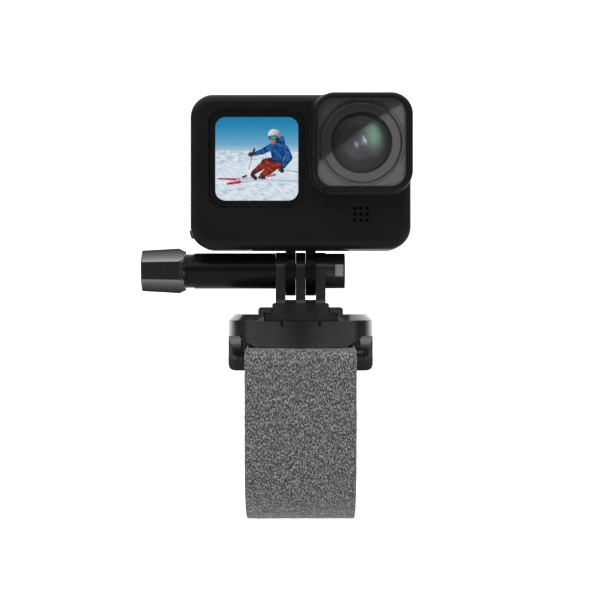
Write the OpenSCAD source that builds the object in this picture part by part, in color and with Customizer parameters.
// Action camera on a wrist strap: camera, long thumbscrew, quick-release buckle,
// swivel head, saddle base and fabric loop. All lengths are millimetres.
// Origin: centre of the wrist space. +X is the viewer's right, -Y the front, +Z up.

/* [Camera body] */
// Width of the camera body
body_w = 71.8; // [70:0.1:74]
// Depth of the camera body without the lens boss
body_d = 25; // [24.5:0.1:27]
// Radius of the four outline corners
body_corner_r = 7.5; // [7:0.1:8]
// Radius of the front edges
front_edge_r = 3; // [2:0.1:3.2]
// Radius of the rear edges
rear_edge_r = 2.6; // [2:0.1:3]
// Thickness of the shell walls
wall = 1.6; // [1.4:0.1:1.8]
// Depth position of the line where the two shells meet
split_y = 3; // [2.6:0.1:3.4]

/* [Lens] */
// Side of the square lens cover
cover_size = 32.1; // [31.4:0.1:32.1]
// Corner radius of the lens cover
cover_corner_r = 7; // [6:0.1:7.4]
// Side of the cover's flat glass
cover_glass = 27.7; // [27:0.1:28.2]
// Radius of the front lens element
lens_r = 9.9; // [9.4:0.1:10.2]

/* [Controls] */
// Travel of the shutter button
shutter_travel = 0.6; // [0.3:0.1:0.6]
// Travel of the mode button
mode_travel = 0.5; // [0.3:0.1:0.5]
// Diameter of the speaker holes
grille_hole = 1.1; // [0.8:0.1:1.4]
// Distance between speaker holes
grille_pitch = 2; // [1.8:0.1:2.3]

/* [Thumbscrew and buckle] */
// Radius of the screw's shank
shaft_r = 2.5; // [2.4:0.02:2.5]
// Radius of the long barrel between knob and prongs
barrel_r = 5.9; // [5.6:0.1:6]
// Half the knob's width across its flats at the thick end
knob_flat = 7.4; // [6.8:0.1:8]
// Thickness of each mounting prong
prong_t = 3.2; // [3:0.05:3.2]
// Half-width of the buckle's lower flange
flange_half = 11.6; // [11.2:0.1:11.6]

/* [Swivel and base] */
// Radius of the round swivel head
head_r = 23.9; // [23.4:0.1:24]
// Width of the bevel round the head's top edge
head_bevel = 2; // [1:0.1:2.4]
// Half the length of each side wing along the wrist strap
wing_half = 16; // [14:0.5:16]
// Thickness of the rubber soles under the wings
sole_t = 3; // [2:0.1:3.2]

/* [Strap] */
// Width of the fabric strap
strap_w = 35.5; // [30:0.5:36]
// Thickness of the padded strap
strap_t = 2.4; // [2:0.1:2.4]

/* [Hidden] */
$fn = 72;

over = 1;             // how far a cut reaches past the face it opens
slip = 0.1;           // gap between flat faces that slide past each other

body_h = 50.5;
body_bottom = 61.4;
body_top = body_bottom + body_h;
body_mid_z = body_bottom + body_h / 2;
body_front = -body_d / 2;
body_back = body_d / 2;
body_right = body_w / 2;
body_left = -body_w / 2;
cavity_left = body_left + 3;
cavity_front = body_front + 1.8;
cavity_w = body_right - wall - cavity_left;
cavity_x = cavity_left + cavity_w / 2;

lens_x = 19.55;
lens_z = 95.5;
boss_left = 2.7;
boss_bottom = 78.7;
boss_front = body_front - 2.7;
boss_depth = 2.7 + front_edge_r;
boss_w = body_right - boss_left;
boss_h = body_top - boss_bottom;
cover_back = boss_front - 0.25;
cover_x = 19.95;
cover_front = -21.1;
cover_step = cover_back - 1.7;
cover_groove_front = cover_back - 2.9;
ring_r = 13.9;
lug_r = 14.9;
glass_t = 1.1;
glass_gap = 0.25;
element_rim_y = -17;
element_dome_r = 25;
barrel_front_r = 12.4;
barrel_front_y = -18.8;
ring_bore_r = 13.15;
barrel_rear_r = 8.6;
barrel_rear_y = 3;

screen_x = -14.24;
screen_z = 90.85;
screen_w = 30.9;
screen_h = 31.5;
display_w = 26.9;
display_h = 27.1;
screen_gap = 0.3;
rear_glass_w = 65;
rear_glass_h = 44;
rear_display_w = 50.5;
rear_display_h = 34;

grille_x = 19.6;
grille_z = 72.8;

shutter_flange_z = 109.3;
mode_flange_x = 33.3;
flange_t = 0.85;
shutter_x = -15;
shutter_w = 14;
shutter_d = 7;
mode_y = 4;
mode_z = 88.5;
mode_w = 4.4;
mode_h = 9;

door_axis_x = body_left + 0.8;
door_axis_z = 102.9;
door_barrel_r = 0.8;
door_half = 9.2;
door_bottom = 65;
door_inner = body_left + 1.6;
bay_half = 7.5;
bay_bottom = 69.8;
bay_top = 100.9;
corner_x = body_left + 7.5;
corner_z = body_bottom + 7.5;

axis_z = 54.6;
finger_t = 3.28;
finger_x = 1.66;
finger_r = 8.2;
prong_r = 6.1;
outer_prong_x = 5;
boss_r = 5.8;
nut_boss_x = outer_prong_x + prong_t;
nut_boss_end = 14.6;
nut_x = 10.9;
nut_t = 3.3;
nut_corner_r = 4.62;
pocket_top = 65.2;
finger_pin_x = 3.3;
finger_pin_z = 63.4;
finger_pin_r = 0.75;

knob_end = -52.4;
knob_start = -38.1;
barrel_end = -nut_boss_x - slip;

channel_z = 38.2;
buckle_top = 44;
buckle_half = 9.1;
lip_half = 9.4;
rail_half = 13.6;
rail_top = 42.7;
rail_y = 19.4;
head_bottom = 32.75;
head_top = 40.4;
tab_bottom = 36.5;

base_top = 32.7;
base_bottom = 29.8;
base_half = 18.6;
wing_x = 23.4;
wing_inner = 17.95;
wing_notch = 19.3;
notch_bottom = 28.9;
wrist_r = 27.4;
ear_top = 33.3;
strap_top = 29.6;
strap_half_y = 28.4;
strap_low_r = 27;
tail_back = strap_half_y + strap_t;

// A box given by its low and high corners
module box(low, high) {
    translate(low)
        cube(high - low);
}

// A round bar along X, from x0 to x1, about the line y, z
module bar_x(r, x0, x1, y, z) {
    translate([x0, y, z])
        rotate([0, 90, 0])
            cylinder(r = r, h = x1 - x0);
}

// A round bar along Y, from y0 to y1, about the line x, z
module bar_y(r, y0, y1, x, z) {
    translate([x, y0, z])
        rotate([-90, 0, 0])
            cylinder(r = r, h = y1 - y0);
}

// A round bar along Z about the origin
module bar_z(r, z0, z1) {
    translate([0, 0, z0])
        cylinder(r = r, h = z1 - z0);
}

// Flat outline of a rounded rectangle, centred
module rounded(w, h, r) {
    square([w - 2 * r, h], center = true);
    square([w, h - 2 * r], center = true);
    for (sx = [-1, 1], sy = [-1, 1])
        translate([sx * (w / 2 - r), sy * (h / 2 - r)])
            circle(r);
}

// Half section of a slab's edge: low edge radius f, high edge radius b
module edge_section(len, d, f, b) {
    difference() {
        square([len, d]);
        translate([len - f, 0])
            difference() {
                translate([0, -over])
                    square([f + over, f + over]);
                translate([0, f])
                    circle(f);
            }
        translate([len - b, d - b])
            difference() {
                square([b + over, b + over]);
                circle(b);
            }
    }
}

// Rounded slab lying flat: outline corners r, low edges f, high edges b
module slab(w, h, d, r, f, b) {
    straight_w = w / 2 - r;
    straight_h = h / 2 - r;
    translate([-straight_w, -straight_h, 0])
        cube([2 * straight_w, 2 * straight_h, d]);
    for (turn = [0, 180])
        rotate([0, 0, turn]) {
            translate([straight_w, straight_h, 0])
                rotate([90, 0, 0])
                    linear_extrude(2 * straight_h)
                        edge_section(r, d, f, b);
            translate([-straight_w, straight_h, 0])
                rotate([90, 0, 90])
                    linear_extrude(2 * straight_w)
                        edge_section(r, d, f, b);
        }
    for (c = [[1, 1, 0], [-1, 1, 90], [-1, -1, 180], [1, -1, 270]])
        translate([c[0] * straight_w, c[1] * straight_h, 0])
            rotate([0, 0, c[2]])
                rotate_extrude(angle = 90)
                    edge_section(r, d, f, b);
}

// A slab standing upright, its low face turned to the front
module front_slab(x, z, y_front, w, h, d, r, f, b) {
    translate([x, y_front, z])
        rotate([-90, 0, 0])
            slab(w, h, d, r, f, b);
}

// A plain rounded plate standing upright between two depths
module front_plate(x, z, y0, y1, w, h, r) {
    translate([x, y0, z])
        rotate([-90, 0, 0])
            linear_extrude(y1 - y0)
                rounded(w, h, r);
}

// The camera's whole outer form
module body_form() {
    front_slab(0, body_mid_z, body_front, body_w, body_h, body_d, body_corner_r, front_edge_r, rear_edge_r);
}

// Space inside the shells
module body_cavity() {
    front_plate(cavity_x, body_mid_z, cavity_front, body_back - wall, cavity_w, body_h - 2 * wall, 5.9);
}

// The raised square that carries the lens, flush with the top and right sides
module boss_form() {
    front_slab(boss_left + boss_w / 2, boss_bottom + boss_h / 2, boss_front, boss_w, boss_h,
        boss_depth, body_corner_r, 0.8, 0.1);
}

// Recess and openings of the battery door, with the pocket for the latch hook
module door_cuts() {
    box([body_left - over, -door_half - 0.2, door_bottom - 0.2], [door_inner + slip, door_half + 0.2, 104]);
    box([body_left, -bay_half, bay_bottom], [cavity_left + over, bay_half, bay_top]);
    box([body_left, -2.7, 63.8], [body_left + 2.9, 2.7, 68.8]);
    bar_y(0.4, -door_half - 1.2, door_half + 1.2, door_axis_x, door_axis_z);
}

// Every opening in the two shells
module shell_cuts() {
    body_cavity();
    boss_form();
    door_cuts();
    front_plate(screen_x, screen_z, body_front - over, body_front + 1.2,
        screen_w + 2 * screen_gap, screen_h + 2 * screen_gap, 4.9);
    front_plate(screen_x, screen_z, body_front, cavity_front + over, display_w + 0.4, display_h + 0.4, 3.5);
    front_plate(0, body_mid_z, body_back - 0.9, body_back + over, rear_glass_w + 0.4, rear_glass_h + 0.4, 6.2);
    front_plate(0, body_mid_z, body_back - wall - over, body_back, rear_display_w + 0.4, rear_display_h + 0.4, 2);
    for (i = [-1:1], k = [-1:1])
        bar_y(grille_hole / 2, body_front - over, cavity_front + over,
            grille_x + i * grille_pitch, grille_z + k * grille_pitch);
    translate([shutter_x, 0, body_top - wall - over])
        linear_extrude(wall + 2 * over)
            rounded(shutter_w + 0.3, shutter_d + 0.3, 3.5);
    translate([body_right - wall - over, mode_y, mode_z])
        rotate([90, 0, 90])
            linear_extrude(wall + 2 * over)
                rounded(mode_w + 0.3, mode_h + 0.3, 2.3);
    box([-17, -9.4, body_bottom - over], [17, 9.4, body_bottom + wall + over]);
}

// Front half of the camera's case
module front_shell() {
    color([0.12, 0.12, 0.13])
        difference() {
            body_form();
            shell_cuts();
            box([-body_w, split_y, 0], [body_w, body_d, 2 * body_top]);
        }
}

// Rear half of the camera's case
module rear_shell() {
    color([0.1, 0.1, 0.11])
        difference() {
            body_form();
            shell_cuts();
            box([-body_w, -body_d, 0], [body_w, split_y, 2 * body_top]);
        }
}

// Raised square behind the lens cover
module lens_boss() {
    color([0.14, 0.14, 0.15])
        difference() {
            boss_form();
            bar_y(barrel_front_r + slip, boss_front - over, body_back, lens_x, lens_z);
        }
}

// Cover glass of the small front screen
module front_screen_glass() {
    color([0.04, 0.04, 0.05])
        front_slab(screen_x, screen_z, body_front, screen_w, screen_h, glass_t, 4.6, 0.25, 0.1);
}

// Front display panel
module front_display() {
    color([0.3, 0.55, 0.85])
        front_plate(screen_x, screen_z, body_front + glass_t + 0.05, cavity_front + 0.5, display_w, display_h, 3.3);
}

// Cover glass of the rear touch screen
module rear_screen_glass() {
    color([0.05, 0.05, 0.06])
        front_slab(0, body_mid_z, body_back - 0.8, rear_glass_w, rear_glass_h, 0.8, 6, 0.1, 0.25);
}

// Rear display panel
module rear_display() {
    color([0.08, 0.09, 0.12])
        front_plate(0, body_mid_z, body_back - 2, body_back - 0.85, rear_display_w, rear_display_h, 1.8);
}

// Fixed ring with four bayonet lugs that the lens cover locks on
module bayonet_ring() {
    color([0.08, 0.08, 0.09])
        difference() {
            union() {
                bar_y(ring_r, -19, boss_front, lens_x, lens_z);
                intersection() {
                    bar_y(lug_r, cover_step - 0.9, cover_step - 0.2, lens_x, lens_z);
                    for (turn = [45, 135])
                        translate([lens_x, 0, lens_z])
                            rotate([0, turn, 0])
                                box([-2 * lug_r, -body_d, -4], [2 * lug_r, 0, 4]);
                }
            }
            bar_y(ring_bore_r, -20, boss_front + over, lens_x, lens_z);
        }
}

// Stepped tube that carries the lens elements
module lens_barrel() {
    color([0.06, 0.06, 0.07])
        difference() {
            union() {
                bar_y(barrel_front_r, barrel_front_y, -9.2, lens_x, lens_z);
                bar_y(barrel_rear_r, -9.2, barrel_rear_y, lens_x, lens_z);
            }
            bar_y(lens_r, -20, -14.4, lens_x, lens_z);
            bar_y(6, -15, barrel_rear_y + over, lens_x, lens_z);
        }
}

// Domed outer lens element
module lens_front_element() {
    color([0.15, 0.2, 0.3])
        intersection() {
            bar_y(lens_r, -20, -14.4, lens_x, lens_z);
            translate([lens_x, element_rim_y + sqrt(element_dome_r * element_dome_r - lens_r * lens_r), lens_z])
                sphere(element_dome_r);
        }
}

// Inner lens element inside the tube
module lens_rear_element() {
    color([0.2, 0.15, 0.35])
        bar_y(6, -9, -5.5, lens_x, lens_z);
}

// Imaging chip at the end of the tube
module image_sensor() {
    color([0.25, 0.2, 0.3])
        box([lens_x - 4, 2, lens_z - 3], [lens_x + 4, barrel_rear_y + 0.1, lens_z + 3]);
}

// Board that carries the imaging chip
module sensor_board() {
    color([0.05, 0.25, 0.15])
        box([lens_x - 9.5, barrel_rear_y + 0.1, lens_z - 9], [lens_x + 9.5, 4.3, lens_z + 9]);
}

// Main circuit board behind the battery
module main_board() {
    color([0.05, 0.28, 0.16])
        box([-30, 9.2, 67], [31, 10, 107]);
}

// Metal frame: heat spreader plate behind the front wall and the battery sleeve
module chassis() {
    color([0.7, 0.71, 0.73])
        difference() {
            union() {
                box([-30, -9, 68], [32, -8.2, 105]);
                box([cavity_left + 0.1, -4.4, 70], [4.6, 9, 93.2]);
                box([-24, -8.3, 72], [-20, -4.3, 91]);
                box([-6, -8.3, 72], [-2, -4.3, 91]);
            }
            box([cavity_left - over, -3.6, 70.8], [3.8, 8.2, 92.4]);
            bar_y(barrel_rear_r + 0.2, -10, 0, lens_x, lens_z);
            box([10, -10, 60], [29, -6, 79]);
        }
}

// Removable battery
module battery() {
    color([0.2, 0.22, 0.26])
        translate([-32.5, 2.3, 81.6])
            rotate([90, 0, 90])
                linear_extrude(36)
                    rounded(11.4, 21.2, 1.2);
}

// Socket for the memory card
module card_socket() {
    color([0.65, 0.66, 0.68])
        difference() {
            box([-31.2, -4.5, 97.9], [-16.8, 8.5, 101.2]);
            box([-34, -3.6, 99], [-17.2, 7.6, 100.2]);
        }
}

// Memory card
module memory_card() {
    color([0.1, 0.1, 0.1])
        box([-32.3, -3.5, 99.1], [-17.3, 7.5, 100.1]);
}

// Charging and data port
module usb_port() {
    color([0.75, 0.76, 0.78])
        translate([-32.4, 2, 95.5])
            rotate([90, 0, 90])
                difference() {
                    linear_extrude(7.4)
                        rounded(9, 3.2, 1.5);
                    translate([0, 0, -over])
                        linear_extrude(6 + over)
                            rounded(8.3, 2.5, 1.2);
                }
}

// Speaker behind the grille
module speaker() {
    color([0.15, 0.15, 0.16])
        front_plate(grille_x, grille_z, -10.2, -6.5, 14, 9, 1.5);
}

// Fine acoustic mesh between the grille and the speaker
module grille_mesh() {
    color([0.2, 0.2, 0.2])
        front_plate(grille_x, grille_z, cavity_front, cavity_front + 0.3, 7.4, 7.4, 1);
}

// Electric switch below the shutter button
module shutter_switch() {
    color([0.3, 0.3, 0.32])
        box([shutter_x - 3, -2.5, 105.6], [shutter_x + 3, 2.5, shutter_flange_z - shutter_travel - slip]);
}

// Electric switch behind the mode button
module mode_switch() {
    color([0.3, 0.3, 0.32])
        box([30.4, mode_y - 1.8, mode_z - 2], [mode_flange_x - mode_travel - 0.2, mode_y + 1.8, mode_z + 2]);
}

// Steel pin that the battery door turns on
module door_hinge_pin() {
    color([0.75, 0.75, 0.77])
        bar_y(0.35, -door_half - 1, door_half + 1, door_axis_x, door_axis_z);
}

// Metal tray in the camera's underside that holds the two fingers
module finger_cradle() {
    color([0.35, 0.36, 0.38])
        difference() {
            box([-17, -9.4, body_bottom], [17, 9.4, pocket_top + 1]);
            box([-16, -8.6, body_bottom - over], [16, 8.6, pocket_top]);
            for (side = [-1, 1])
                bar_y(finger_pin_r, -9.2, 9.2, side * finger_pin_x, finger_pin_z);
        }
}

// One mounting finger, its inner face on the given side of the centre
module finger(side) {
    middle = side * (finger_x + finger_t / 2);
    color([0.16, 0.16, 0.17])
        difference() {
            union() {
                bar_x(finger_r, middle - finger_t / 2, middle + finger_t / 2, 0, axis_z);
                box([middle - finger_t / 2, -6.4, axis_z], [middle + finger_t / 2, 6.4, 64.7]);
            }
            bar_x(shaft_r + 0.06, middle - finger_t, middle + finger_t, 0, axis_z);
            bar_y(finger_pin_r, -10, 10, side * finger_pin_x, finger_pin_z);
        }
}

// Finger on the viewer's left
module finger_left() {
    finger(-1);
}

// Finger on the viewer's right
module finger_right() {
    finger(1);
}

// Hinge pin of the left finger
module finger_pin_left() {
    color([0.8, 0.8, 0.8])
        bar_y(finger_pin_r, -9.2, 9.2, -finger_pin_x, finger_pin_z);
}

// Hinge pin of the right finger
module finger_pin_right() {
    color([0.8, 0.8, 0.8])
        bar_y(finger_pin_r, -9.2, 9.2, finger_pin_x, finger_pin_z);
}

// Removable square frame round the lens, with the bayonet track behind
module lens_cover_frame() {
    color([0.1, 0.1, 0.11])
        difference() {
            front_slab(cover_x, lens_z, cover_front, cover_size, cover_size,
                cover_back - cover_front, cover_corner_r, 1.3, 0.4);
            front_plate(lens_x, lens_z, cover_front - over, cover_front + glass_t,
                cover_glass + 2 * glass_gap, cover_glass + 2 * glass_gap, 4.95);
            front_plate(lens_x, lens_z, cover_front, cover_front + 2, cover_glass - 0.4, cover_glass - 0.4, 4.5);
            bar_y(lug_r + 0.2, cover_groove_front, cover_step, lens_x, lens_z);
            bar_y(ring_r + 0.15, cover_front + 1.6, cover_back + over, lens_x, lens_z);
            intersection() {
                bar_y(lug_r + 0.2, cover_groove_front, cover_back + over, lens_x, lens_z);
                for (turn = [0, 90])
                    translate([lens_x, 0, lens_z])
                        rotate([0, turn, 0])
                            box([-2 * lug_r, -body_d, -4.6], [2 * lug_r, 0, 4.6]);
            }
        }
}

// Flat glass of the lens cover
module lens_cover_glass() {
    color([0.35, 0.36, 0.38])
        front_slab(lens_x, lens_z, cover_front, cover_glass, cover_glass, glass_t, 4.7, 0.2, 0.05);
}

// Shutter button with the flange that keeps it in the case
module shutter_button() {
    color([0.15, 0.15, 0.16])
        difference() {
            union() {
                translate([shutter_x, 0, shutter_flange_z + 0.1])
                    slab(shutter_w, shutter_d, body_top - shutter_flange_z - 0.1, 3.4, 0.1, 0.4);
                translate([shutter_x, 0, shutter_flange_z])
                    linear_extrude(flange_t)
                        rounded(shutter_w + 1.4, shutter_d + 1.4, 4);
            }
            translate([shutter_x, 0, 0])
                ring_cut(body_top - 0.3);
        }
}

// Ring-shaped groove for the button's inlay
module ring_cut(z0) {
    difference() {
        bar_z(2.4, z0, body_top + over);
        bar_z(1.6, z0 - over, body_top + 2 * over);
    }
}

// Red ring set into the shutter button
module shutter_ring() {
    color([0.75, 0.08, 0.06])
        translate([shutter_x, 0, 0])
            difference() {
                bar_z(2.4, body_top - 0.3, body_top);
                bar_z(1.6, body_top - 1, body_top + over);
            }
}

// Mode button on the right side, with its inner flange
module mode_button() {
    color([0.15, 0.15, 0.16])
        translate([0, mode_y, mode_z])
            rotate([90, 0, 90]) {
                translate([0, 0, mode_flange_x + 0.1])
                    slab(mode_w, mode_h, body_right - mode_flange_x - 0.1, 2.1, 0.1, 0.4);
                translate([0, 0, mode_flange_x])
                    linear_extrude(flange_t)
                        rounded(mode_w + 1.4, mode_h + 1.4, 2.8);
            }
}

// Battery door: follows the case outline and rounds into a hinge barrel at the top
module side_door() {
    color([0.11, 0.11, 0.12])
        difference() {
            union() {
                intersection() {
                    body_form();
                    box([body_left, -door_half, door_bottom], [door_inner, door_half, door_axis_z]);
                }
                bar_y(door_barrel_r, -door_half, door_half, door_axis_x, door_axis_z);
            }
            bar_y(0.41, -10, 10, door_axis_x, door_axis_z);
            box([body_left - over, -3.75, door_bottom - over], [door_inner + over, 3.75, 69.6]);
        }
}

// Rubber seal rim on the inside of the door
module door_seal() {
    color([0.3, 0.3, 0.31])
        difference() {
            box([door_inner, -7.3, bay_bottom + 0.2], [door_inner + 0.9, 7.3, bay_top - 0.2]);
            box([door_inner - over, -6.3, bay_bottom + 1.2], [door_inner + 2, 6.3, bay_top - 1.2]);
        }
}

// Sliding latch with a curved thumb ridge outside and a hook inside
module door_latch() {
    color([0.13, 0.13, 0.14]) {
        intersection() {
            difference() {
                bar_y(8.3, -3.6, 3.6, corner_x, corner_z);
                bar_y(6.2, -4, 4, corner_x, corner_z);
            }
            box([-40, -3.6, 65.3], [door_inner, 3.6, 67.9]);
        }
        box([-35.2, -2.4, 65.4], [-33.2, 2.4, 67]);
        box([-33.8, -2.4, 64.1], [-33.2, 2.4, 67]);
    }
}

// Two opposite tapered flats of the knob; bevel is how deep their inner ends are cut
module knob_flats(turn, bevel) {
    thin = knob_flat - 0.67;
    profile = [
        [knob_end, thin - 0.4], [knob_end + 0.4, thin], [knob_start - 2 * bevel, knob_flat],
        [knob_start, knob_flat - bevel]
    ];
    mirrored = [for (i = [3:-1:0]) [profile[i][0], -profile[i][1]]];
    rotate([turn, 0, 0])
        translate([0, 3 * knob_flat, 0])
            rotate([90, 0, 0])
                linear_extrude(6 * knob_flat)
                    polygon(concat(profile, mirrored));
}

// Eight-sided thumb knob with a dished end and an undercut where the barrel starts
module knob() {
    color([0.13, 0.13, 0.14])
        translate([0, 0, axis_z])
            difference() {
                intersection() {
                    knob_flats(0, 0.95);
                    knob_flats(45, 0.1);
                    knob_flats(90, 0.95);
                    knob_flats(135, 0.1);
                }
                bar_x(3.6, knob_end - over, knob_end + 1.2, 0, 0);
                rotate([0, 90, 0])
                    rotate_extrude()
                        polygon([[barrel_r - 0.3, knob_start - 2.4], [knob_flat, knob_start], [knob_flat, knob_start + over],
                            [barrel_r - 0.3, knob_start + over]]);
            }
}

// Long round barrel between the knob and the prongs
module barrel() {
    color([0.12, 0.12, 0.13])
        difference() {
            union() {
                bar_x(barrel_r - 0.3, knob_start, knob_start + 3, 0, axis_z);
                bar_x(barrel_r, knob_start + 3, barrel_end, 0, axis_z);
            }
            bar_x(shaft_r, -24, barrel_end + over, 0, axis_z);
        }
}

// Steel screw through fingers, prongs and nut
module screw_shaft() {
    color([0.7, 0.7, 0.72])
        bar_x(shaft_r, -24, nut_boss_end - 0.6, 0, axis_z);
}

// The buckle's body: block on a wider flange, with a sloping thumb scoop cut in its nose
module buckle_block() {
    flange_top = 40.7;
    nose = -19;
    difference() {
        intersection() {
            rotate([90, 0, 90])
                linear_extrude(4 * buckle_half, center = true)
                    polygon([[nose, 30], [nose, buckle_top - 0.3], [nose + 0.3, buckle_top],
                        [15, buckle_top], [17, 42], [17, 30]]);
            rotate([90, 0, 0])
                linear_extrude(60, center = true)
                    polygon([[-flange_half, channel_z + slip], [-flange_half, flange_top], [-buckle_half, flange_top],
                        [-buckle_half, buckle_top - 0.3], [0.3 - buckle_half, buckle_top],
                        [buckle_half - 0.3, buckle_top], [buckle_half, buckle_top - 0.3], [buckle_half, flange_top],
                        [flange_half, flange_top], [flange_half, channel_z + slip]]);
            linear_extrude(2 * buckle_top)
                polygon([[-4.9, nose], [4.9, nose], [flange_half, nose + 0.5], [flange_half, 17],
                    [-flange_half, 17], [-flange_half, nose + 0.5]]);
        }
        intersection() {
            rotate([90, 0, 0])
                linear_extrude(60, center = true)
                    polygon([[-4.9, 39.7], [4.9, 39.7], [8.97, 45], [-8.97, 45]]);
            rotate([90, 0, 90])
                linear_extrude(40, center = true)
                    polygon([[nose - over, 39.7], [nose, 39.7], [nose + 9.37, 45], [nose - over, 45]]);
        }
    }
}

// One mounting prong between two X positions, with webs at its foot
module prong(x0, x1) {
    bar_x(prong_r, x0, x1, 0, axis_z);
    box([x0, -prong_r, buckle_top - over], [x1, prong_r, axis_z]);
    translate([x0, 0, 0])
        rotate([90, 0, 90])
            linear_extrude(x1 - x0)
                polygon([[-7, buckle_top - over], [-7, buckle_top], [-prong_r, buckle_top + 1.6],
                    [prong_r, buckle_top + 1.6], [7.6, buckle_top], [7.6, buckle_top - over]]);
}

// Quick-release buckle: block, flange, spring arms with thumb pads, three prongs and nut boss
module buckle() {
    color([0.12, 0.12, 0.13])
        difference() {
            union() {
                buckle_block();
                for (side = [-1, 1]) {
                    box([side * 10.1 - 1.5, 10, channel_z + slip], [side * 10.1 + 1.5, 27, 40.7]);
                    box([side * 10.4 - 1.8, 22.2, channel_z + slip], [side * 10.4 + 1.8, 27, 42.3]);
                }
                box([-outer_prong_x - over, -5.5, buckle_top - over], [outer_prong_x + over, 5.5, buckle_top + 1.1]);
                prong(-prong_t / 2, prong_t / 2);
                prong(outer_prong_x, outer_prong_x + prong_t);
                prong(-outer_prong_x - prong_t, -outer_prong_x);
                bar_x(boss_r, nut_boss_x - over, nut_boss_end, 0, axis_z);
            }
            bar_x(shaft_r + 0.08, -20, 20, 0, axis_z);
            translate([nut_x - 0.1, 0, axis_z])
                rotate([0, 90, 0])
                    cylinder(r = nut_corner_r + 0.05, h = 10, $fn = 6);
            box([11.3, -boss_r - over, 52.7], [14.1, -3, 56.7]);
            translate([nut_boss_end, 0, 50.6])
                rotate([0, -14, 0])
                    box([0, -10, -8], [6, 10, 0]);
            for (side = [-1, 1])
                box([side * 7.6 - 1, 11, channel_z - over], [side * 7.6 + 1, 18, buckle_top + over]);
        }
}

// Steel nut held in the boss
module lock_nut() {
    color([0.62, 0.62, 0.64])
        translate([nut_x, 0, axis_z])
            rotate([0, 90, 0])
                difference() {
                    cylinder(r = nut_corner_r, h = nut_t, $fn = 6);
                    translate([0, 0, -over])
                        cylinder(r = shaft_r + 0.05, h = nut_t + 2 * over);
                }
}

// Round outer form of the swivel head, bevelled at the top
module head_form() {
    rotate_extrude()
        polygon([[0, head_bottom], [head_r, head_bottom],
            [head_r, head_top - head_bevel], [head_r - head_bevel, head_top], [0, head_top]]);
}

// One rail with an inward lip, on the right side
module rail() {
    rotate([90, 0, 0])
        linear_extrude(2 * rail_y, center = true)
            polygon([[11.8, channel_z - over], [11.8, 40.9], [lip_half, 40.9], [lip_half, rail_top],
                [rail_half - 0.6, rail_top], [rail_half, rail_top - 0.6], [rail_half, channel_z - over]]);
}

// Space the front lock tab moves in: wide slits above, close sides below
module tab_cut() {
    box([-6.4, -30, tab_bottom + 0.3], [6.4, -13.6, 45]);
    box([-5.7, -30, tab_bottom - slip], [5.7, -13.6, 37]);
}

// Round head that turns on the base and carries the rails
module swivel_head() {
    color([0.17, 0.17, 0.18])
        difference() {
            union() {
                head_form();
                rail();
                mirror([1, 0, 0])
                    rail();
            }
            box([-11.8, -30, channel_z], [11.8, 30, 40.9]);
            box([-lip_half, -30, channel_z], [lip_half, 30, 45]);
            tab_cut();
            bar_z(4.1, 30, 45);
            bar_z(6.2, 36, 45);
            difference() {
                bar_z(20, 32, 34.2);
                bar_z(10, 31, 35);
            }
        }
}

// Sliding tab at the head's front edge
module lock_tab() {
    color([0.15, 0.15, 0.16])
        intersection() {
            bar_z(head_r, tab_bottom, channel_z);
            box([-5.6, -30, tab_bottom], [5.6, -15, channel_z]);
        }
}

// Outer form of both wings: rounded plan, front and rear faces that lean in at the top
module wing_form() {
    lean = 12.5;
    face = base_top - 5.9;
    intersection() {
        linear_extrude(2 * base_top)
            rounded(2 * wing_x, 2 * wing_half, 2.6);
        union() {
            box([-wing_x, -wing_half, 0], [wing_x, wing_half, face]);
            bar_x(lean, -wing_x, wing_x, lean - wing_half, face);
            bar_x(lean, -wing_x, wing_x, wing_half - lean, face);
            box([-wing_x, lean - wing_half, 0], [wing_x, wing_half - lean, face + lean]);
        }
    }
}

// Fixed base: round top plate with cut lower corners, side wings with raised ears, pivot post
module saddle_base() {
    color([0.13, 0.13, 0.14])
        difference() {
            union() {
                intersection() {
                    bar_z(head_r, base_bottom, base_top);
                    rotate([90, 0, 0])
                        linear_extrude(2 * head_r, center = true)
                            polygon([[-base_half, base_top], [base_half, base_top], [base_half, base_top - 0.1],
                                [14.6, base_bottom], [-14.6, base_bottom], [-base_half, base_top - 0.1]]);
                }
                intersection() {
                    wing_form();
                    difference() {
                        box([-wing_x, -wing_half, base_top - over], [wing_x, wing_half, ear_top]);
                        bar_z(head_r + 0.35, 0, 2 * ear_top);
                        box([-wing_notch, -30, 0], [wing_notch, 30, 2 * ear_top]);
                    }
                }
                intersection() {
                    wing_form();
                    difference() {
                        box([-wing_x, -wing_half, 20], [wing_x, wing_half, base_top]);
                        bar_x(wrist_r + sole_t, -30, 30, 0, 0);
                        box([-wing_inner, -30, 0], [wing_inner, 30, base_bottom]);
                        for (side = [-1, 1])
                            translate([0, 20 * side, 0])
                                box([-wing_notch, -10, notch_bottom], [wing_notch, 10, base_top - 0.2]);
                    }
                }
                bar_z(4, base_top - over, 36.1);
            }
            bar_z(2, 20, 40);
            difference() {
                bar_z(18.2, base_top - 0.7, 40);
                bar_z(16, 20, 50);
            }
        }
}

// Section of a rubber sole, rounded at its lower outer corner
module sole_section() {
    low = wrist_r;
    high = wrist_r + sole_t;
    difference() {
        translate([low, wing_inner])
            square([high - low, wing_x - wing_inner]);
        translate([low + 0.7, wing_x - 0.7])
            difference() {
                translate([-0.7 - over, 0])
                    square([0.7 + over, 0.7 + over]);
                circle(0.7);
            }
    }
}

// Rubber sole under the right wing, curved round the wrist
module sole_right() {
    color([0.09, 0.09, 0.1])
        intersection() {
            rotate([0, 90, 0])
                rotate_extrude()
                    sole_section();
            wing_form();
        }
}

// Rubber sole under the left wing
module sole_left() {
    mirror([1, 0, 0])
        sole_right();
}

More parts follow.
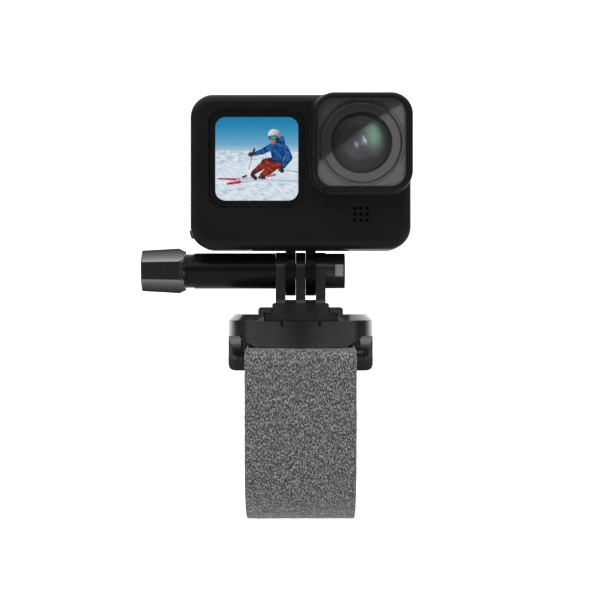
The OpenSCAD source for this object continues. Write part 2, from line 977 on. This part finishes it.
// Friction ring in the base that steadies the swivel head
module friction_ring() {
    color([0.25, 0.25, 0.26])
        difference() {
            bar_z(18.1, base_top - 0.7, base_top);
            bar_z(16.1, base_top - over, base_top + over);
        }
}

// Washer that holds the head down
module pivot_washer() {
    color([0.75, 0.75, 0.77])
        difference() {
            bar_z(6, 36.1, 36.7);
            bar_z(2.05, 35, 38);
        }
}

// Pan-head pivot screw with a cross slot
module pivot_screw() {
    color([0.7, 0.7, 0.72])
        difference() {
            union() {
                bar_z(2, base_bottom, 36.7);
                bar_z(4.6, 36.7, 37.9);
            }
            box([-2.6, -0.4, 37.1], [2.6, 0.4, 39]);
            box([-0.4, -2.6, 37.1], [0.4, 2.6, 39]);
        }
}

// Thin plate between the wings that traps the strap under the base
module keeper_plate() {
    color([0.14, 0.14, 0.15])
        translate([0, 0, 25.7])
            slab(2 * wing_inner, 31, 1.4, 2, 0.3, 0.3);
}

// Foam pad against the wrist
module wrist_pad() {
    color([0.22, 0.22, 0.23])
        translate([0, 0, 23.9])
            slab(35.4, 30, 1.8, 4, 1.2, 0.1);
}

// Outline of the strap loop seen along the wrist, drawn in or out by an inset
module loop_outline(inset) {
    r = strap_low_r - inset;
    half = strap_half_y - inset;
    top = strap_top - inset;
    corner = 5 - inset;
    for (side = [-1, 1])
        translate([side * (strap_half_y - strap_low_r), 0])
            circle(r);
    translate([-(half - r), -r])
        square([2 * (half - r), r]);
    translate([-half, 0])
        square([2 * half, top - corner]);
    translate([-(half - corner), 0])
        square([2 * (half - corner), top]);
    for (side = [-1, 1])
        translate([side * (half - corner), top - corner])
            circle(corner);
}

// Padded fabric strap, a closed loop round the wrist
module strap() {
    color([0.42, 0.42, 0.43])
        rotate([90, 0, 90])
            linear_extrude(strap_w, center = true)
                difference() {
                    loop_outline(0);
                    loop_outline(strap_t);
                }
}

// Hook-and-loop patch that closes the strap at the back
module hook_patch() {
    color([0.12, 0.12, 0.12])
        box([-15, strap_half_y, 4], [15, strap_half_y + 0.6, 21]);
}

// Overlapping free end of the strap
module strap_tail() {
    color([0.4, 0.4, 0.41])
        box([-strap_w / 2, strap_half_y + 0.6, 3], [strap_w / 2, tail_back, 23]);
}

// Moulded tip on the strap's free end
module tail_tip() {
    color([0.15, 0.15, 0.15])
        translate([0, strap_half_y + 0.6, -0.5])
            rotate([-90, 0, 0])
                linear_extrude(strap_t - 0.4)
                    rounded(strap_w, 7, 2);
}

front_shell();
rear_shell();
lens_boss();
front_screen_glass();
front_display();
rear_screen_glass();
rear_display();
bayonet_ring();
lens_barrel();
lens_front_element();
lens_rear_element();
image_sensor();
sensor_board();
main_board();
chassis();
battery();
card_socket();
memory_card();
usb_port();
speaker();
grille_mesh();
shutter_switch();
mode_switch();
door_hinge_pin();
finger_cradle();
finger_left();
finger_right();
finger_pin_left();
finger_pin_right();
lens_cover_frame();
lens_cover_glass();
shutter_button();
shutter_ring();
mode_button();
side_door();
door_seal();
door_latch();
knob();
barrel();
screw_shaft();
buckle();
lock_nut();
swivel_head();
lock_tab();
saddle_base();
sole_left();
sole_right();
friction_ring();
pivot_washer();
pivot_screw();
keeper_plate();
wrist_pad();
strap();
hook_patch();
strap_tail();
tail_tip();
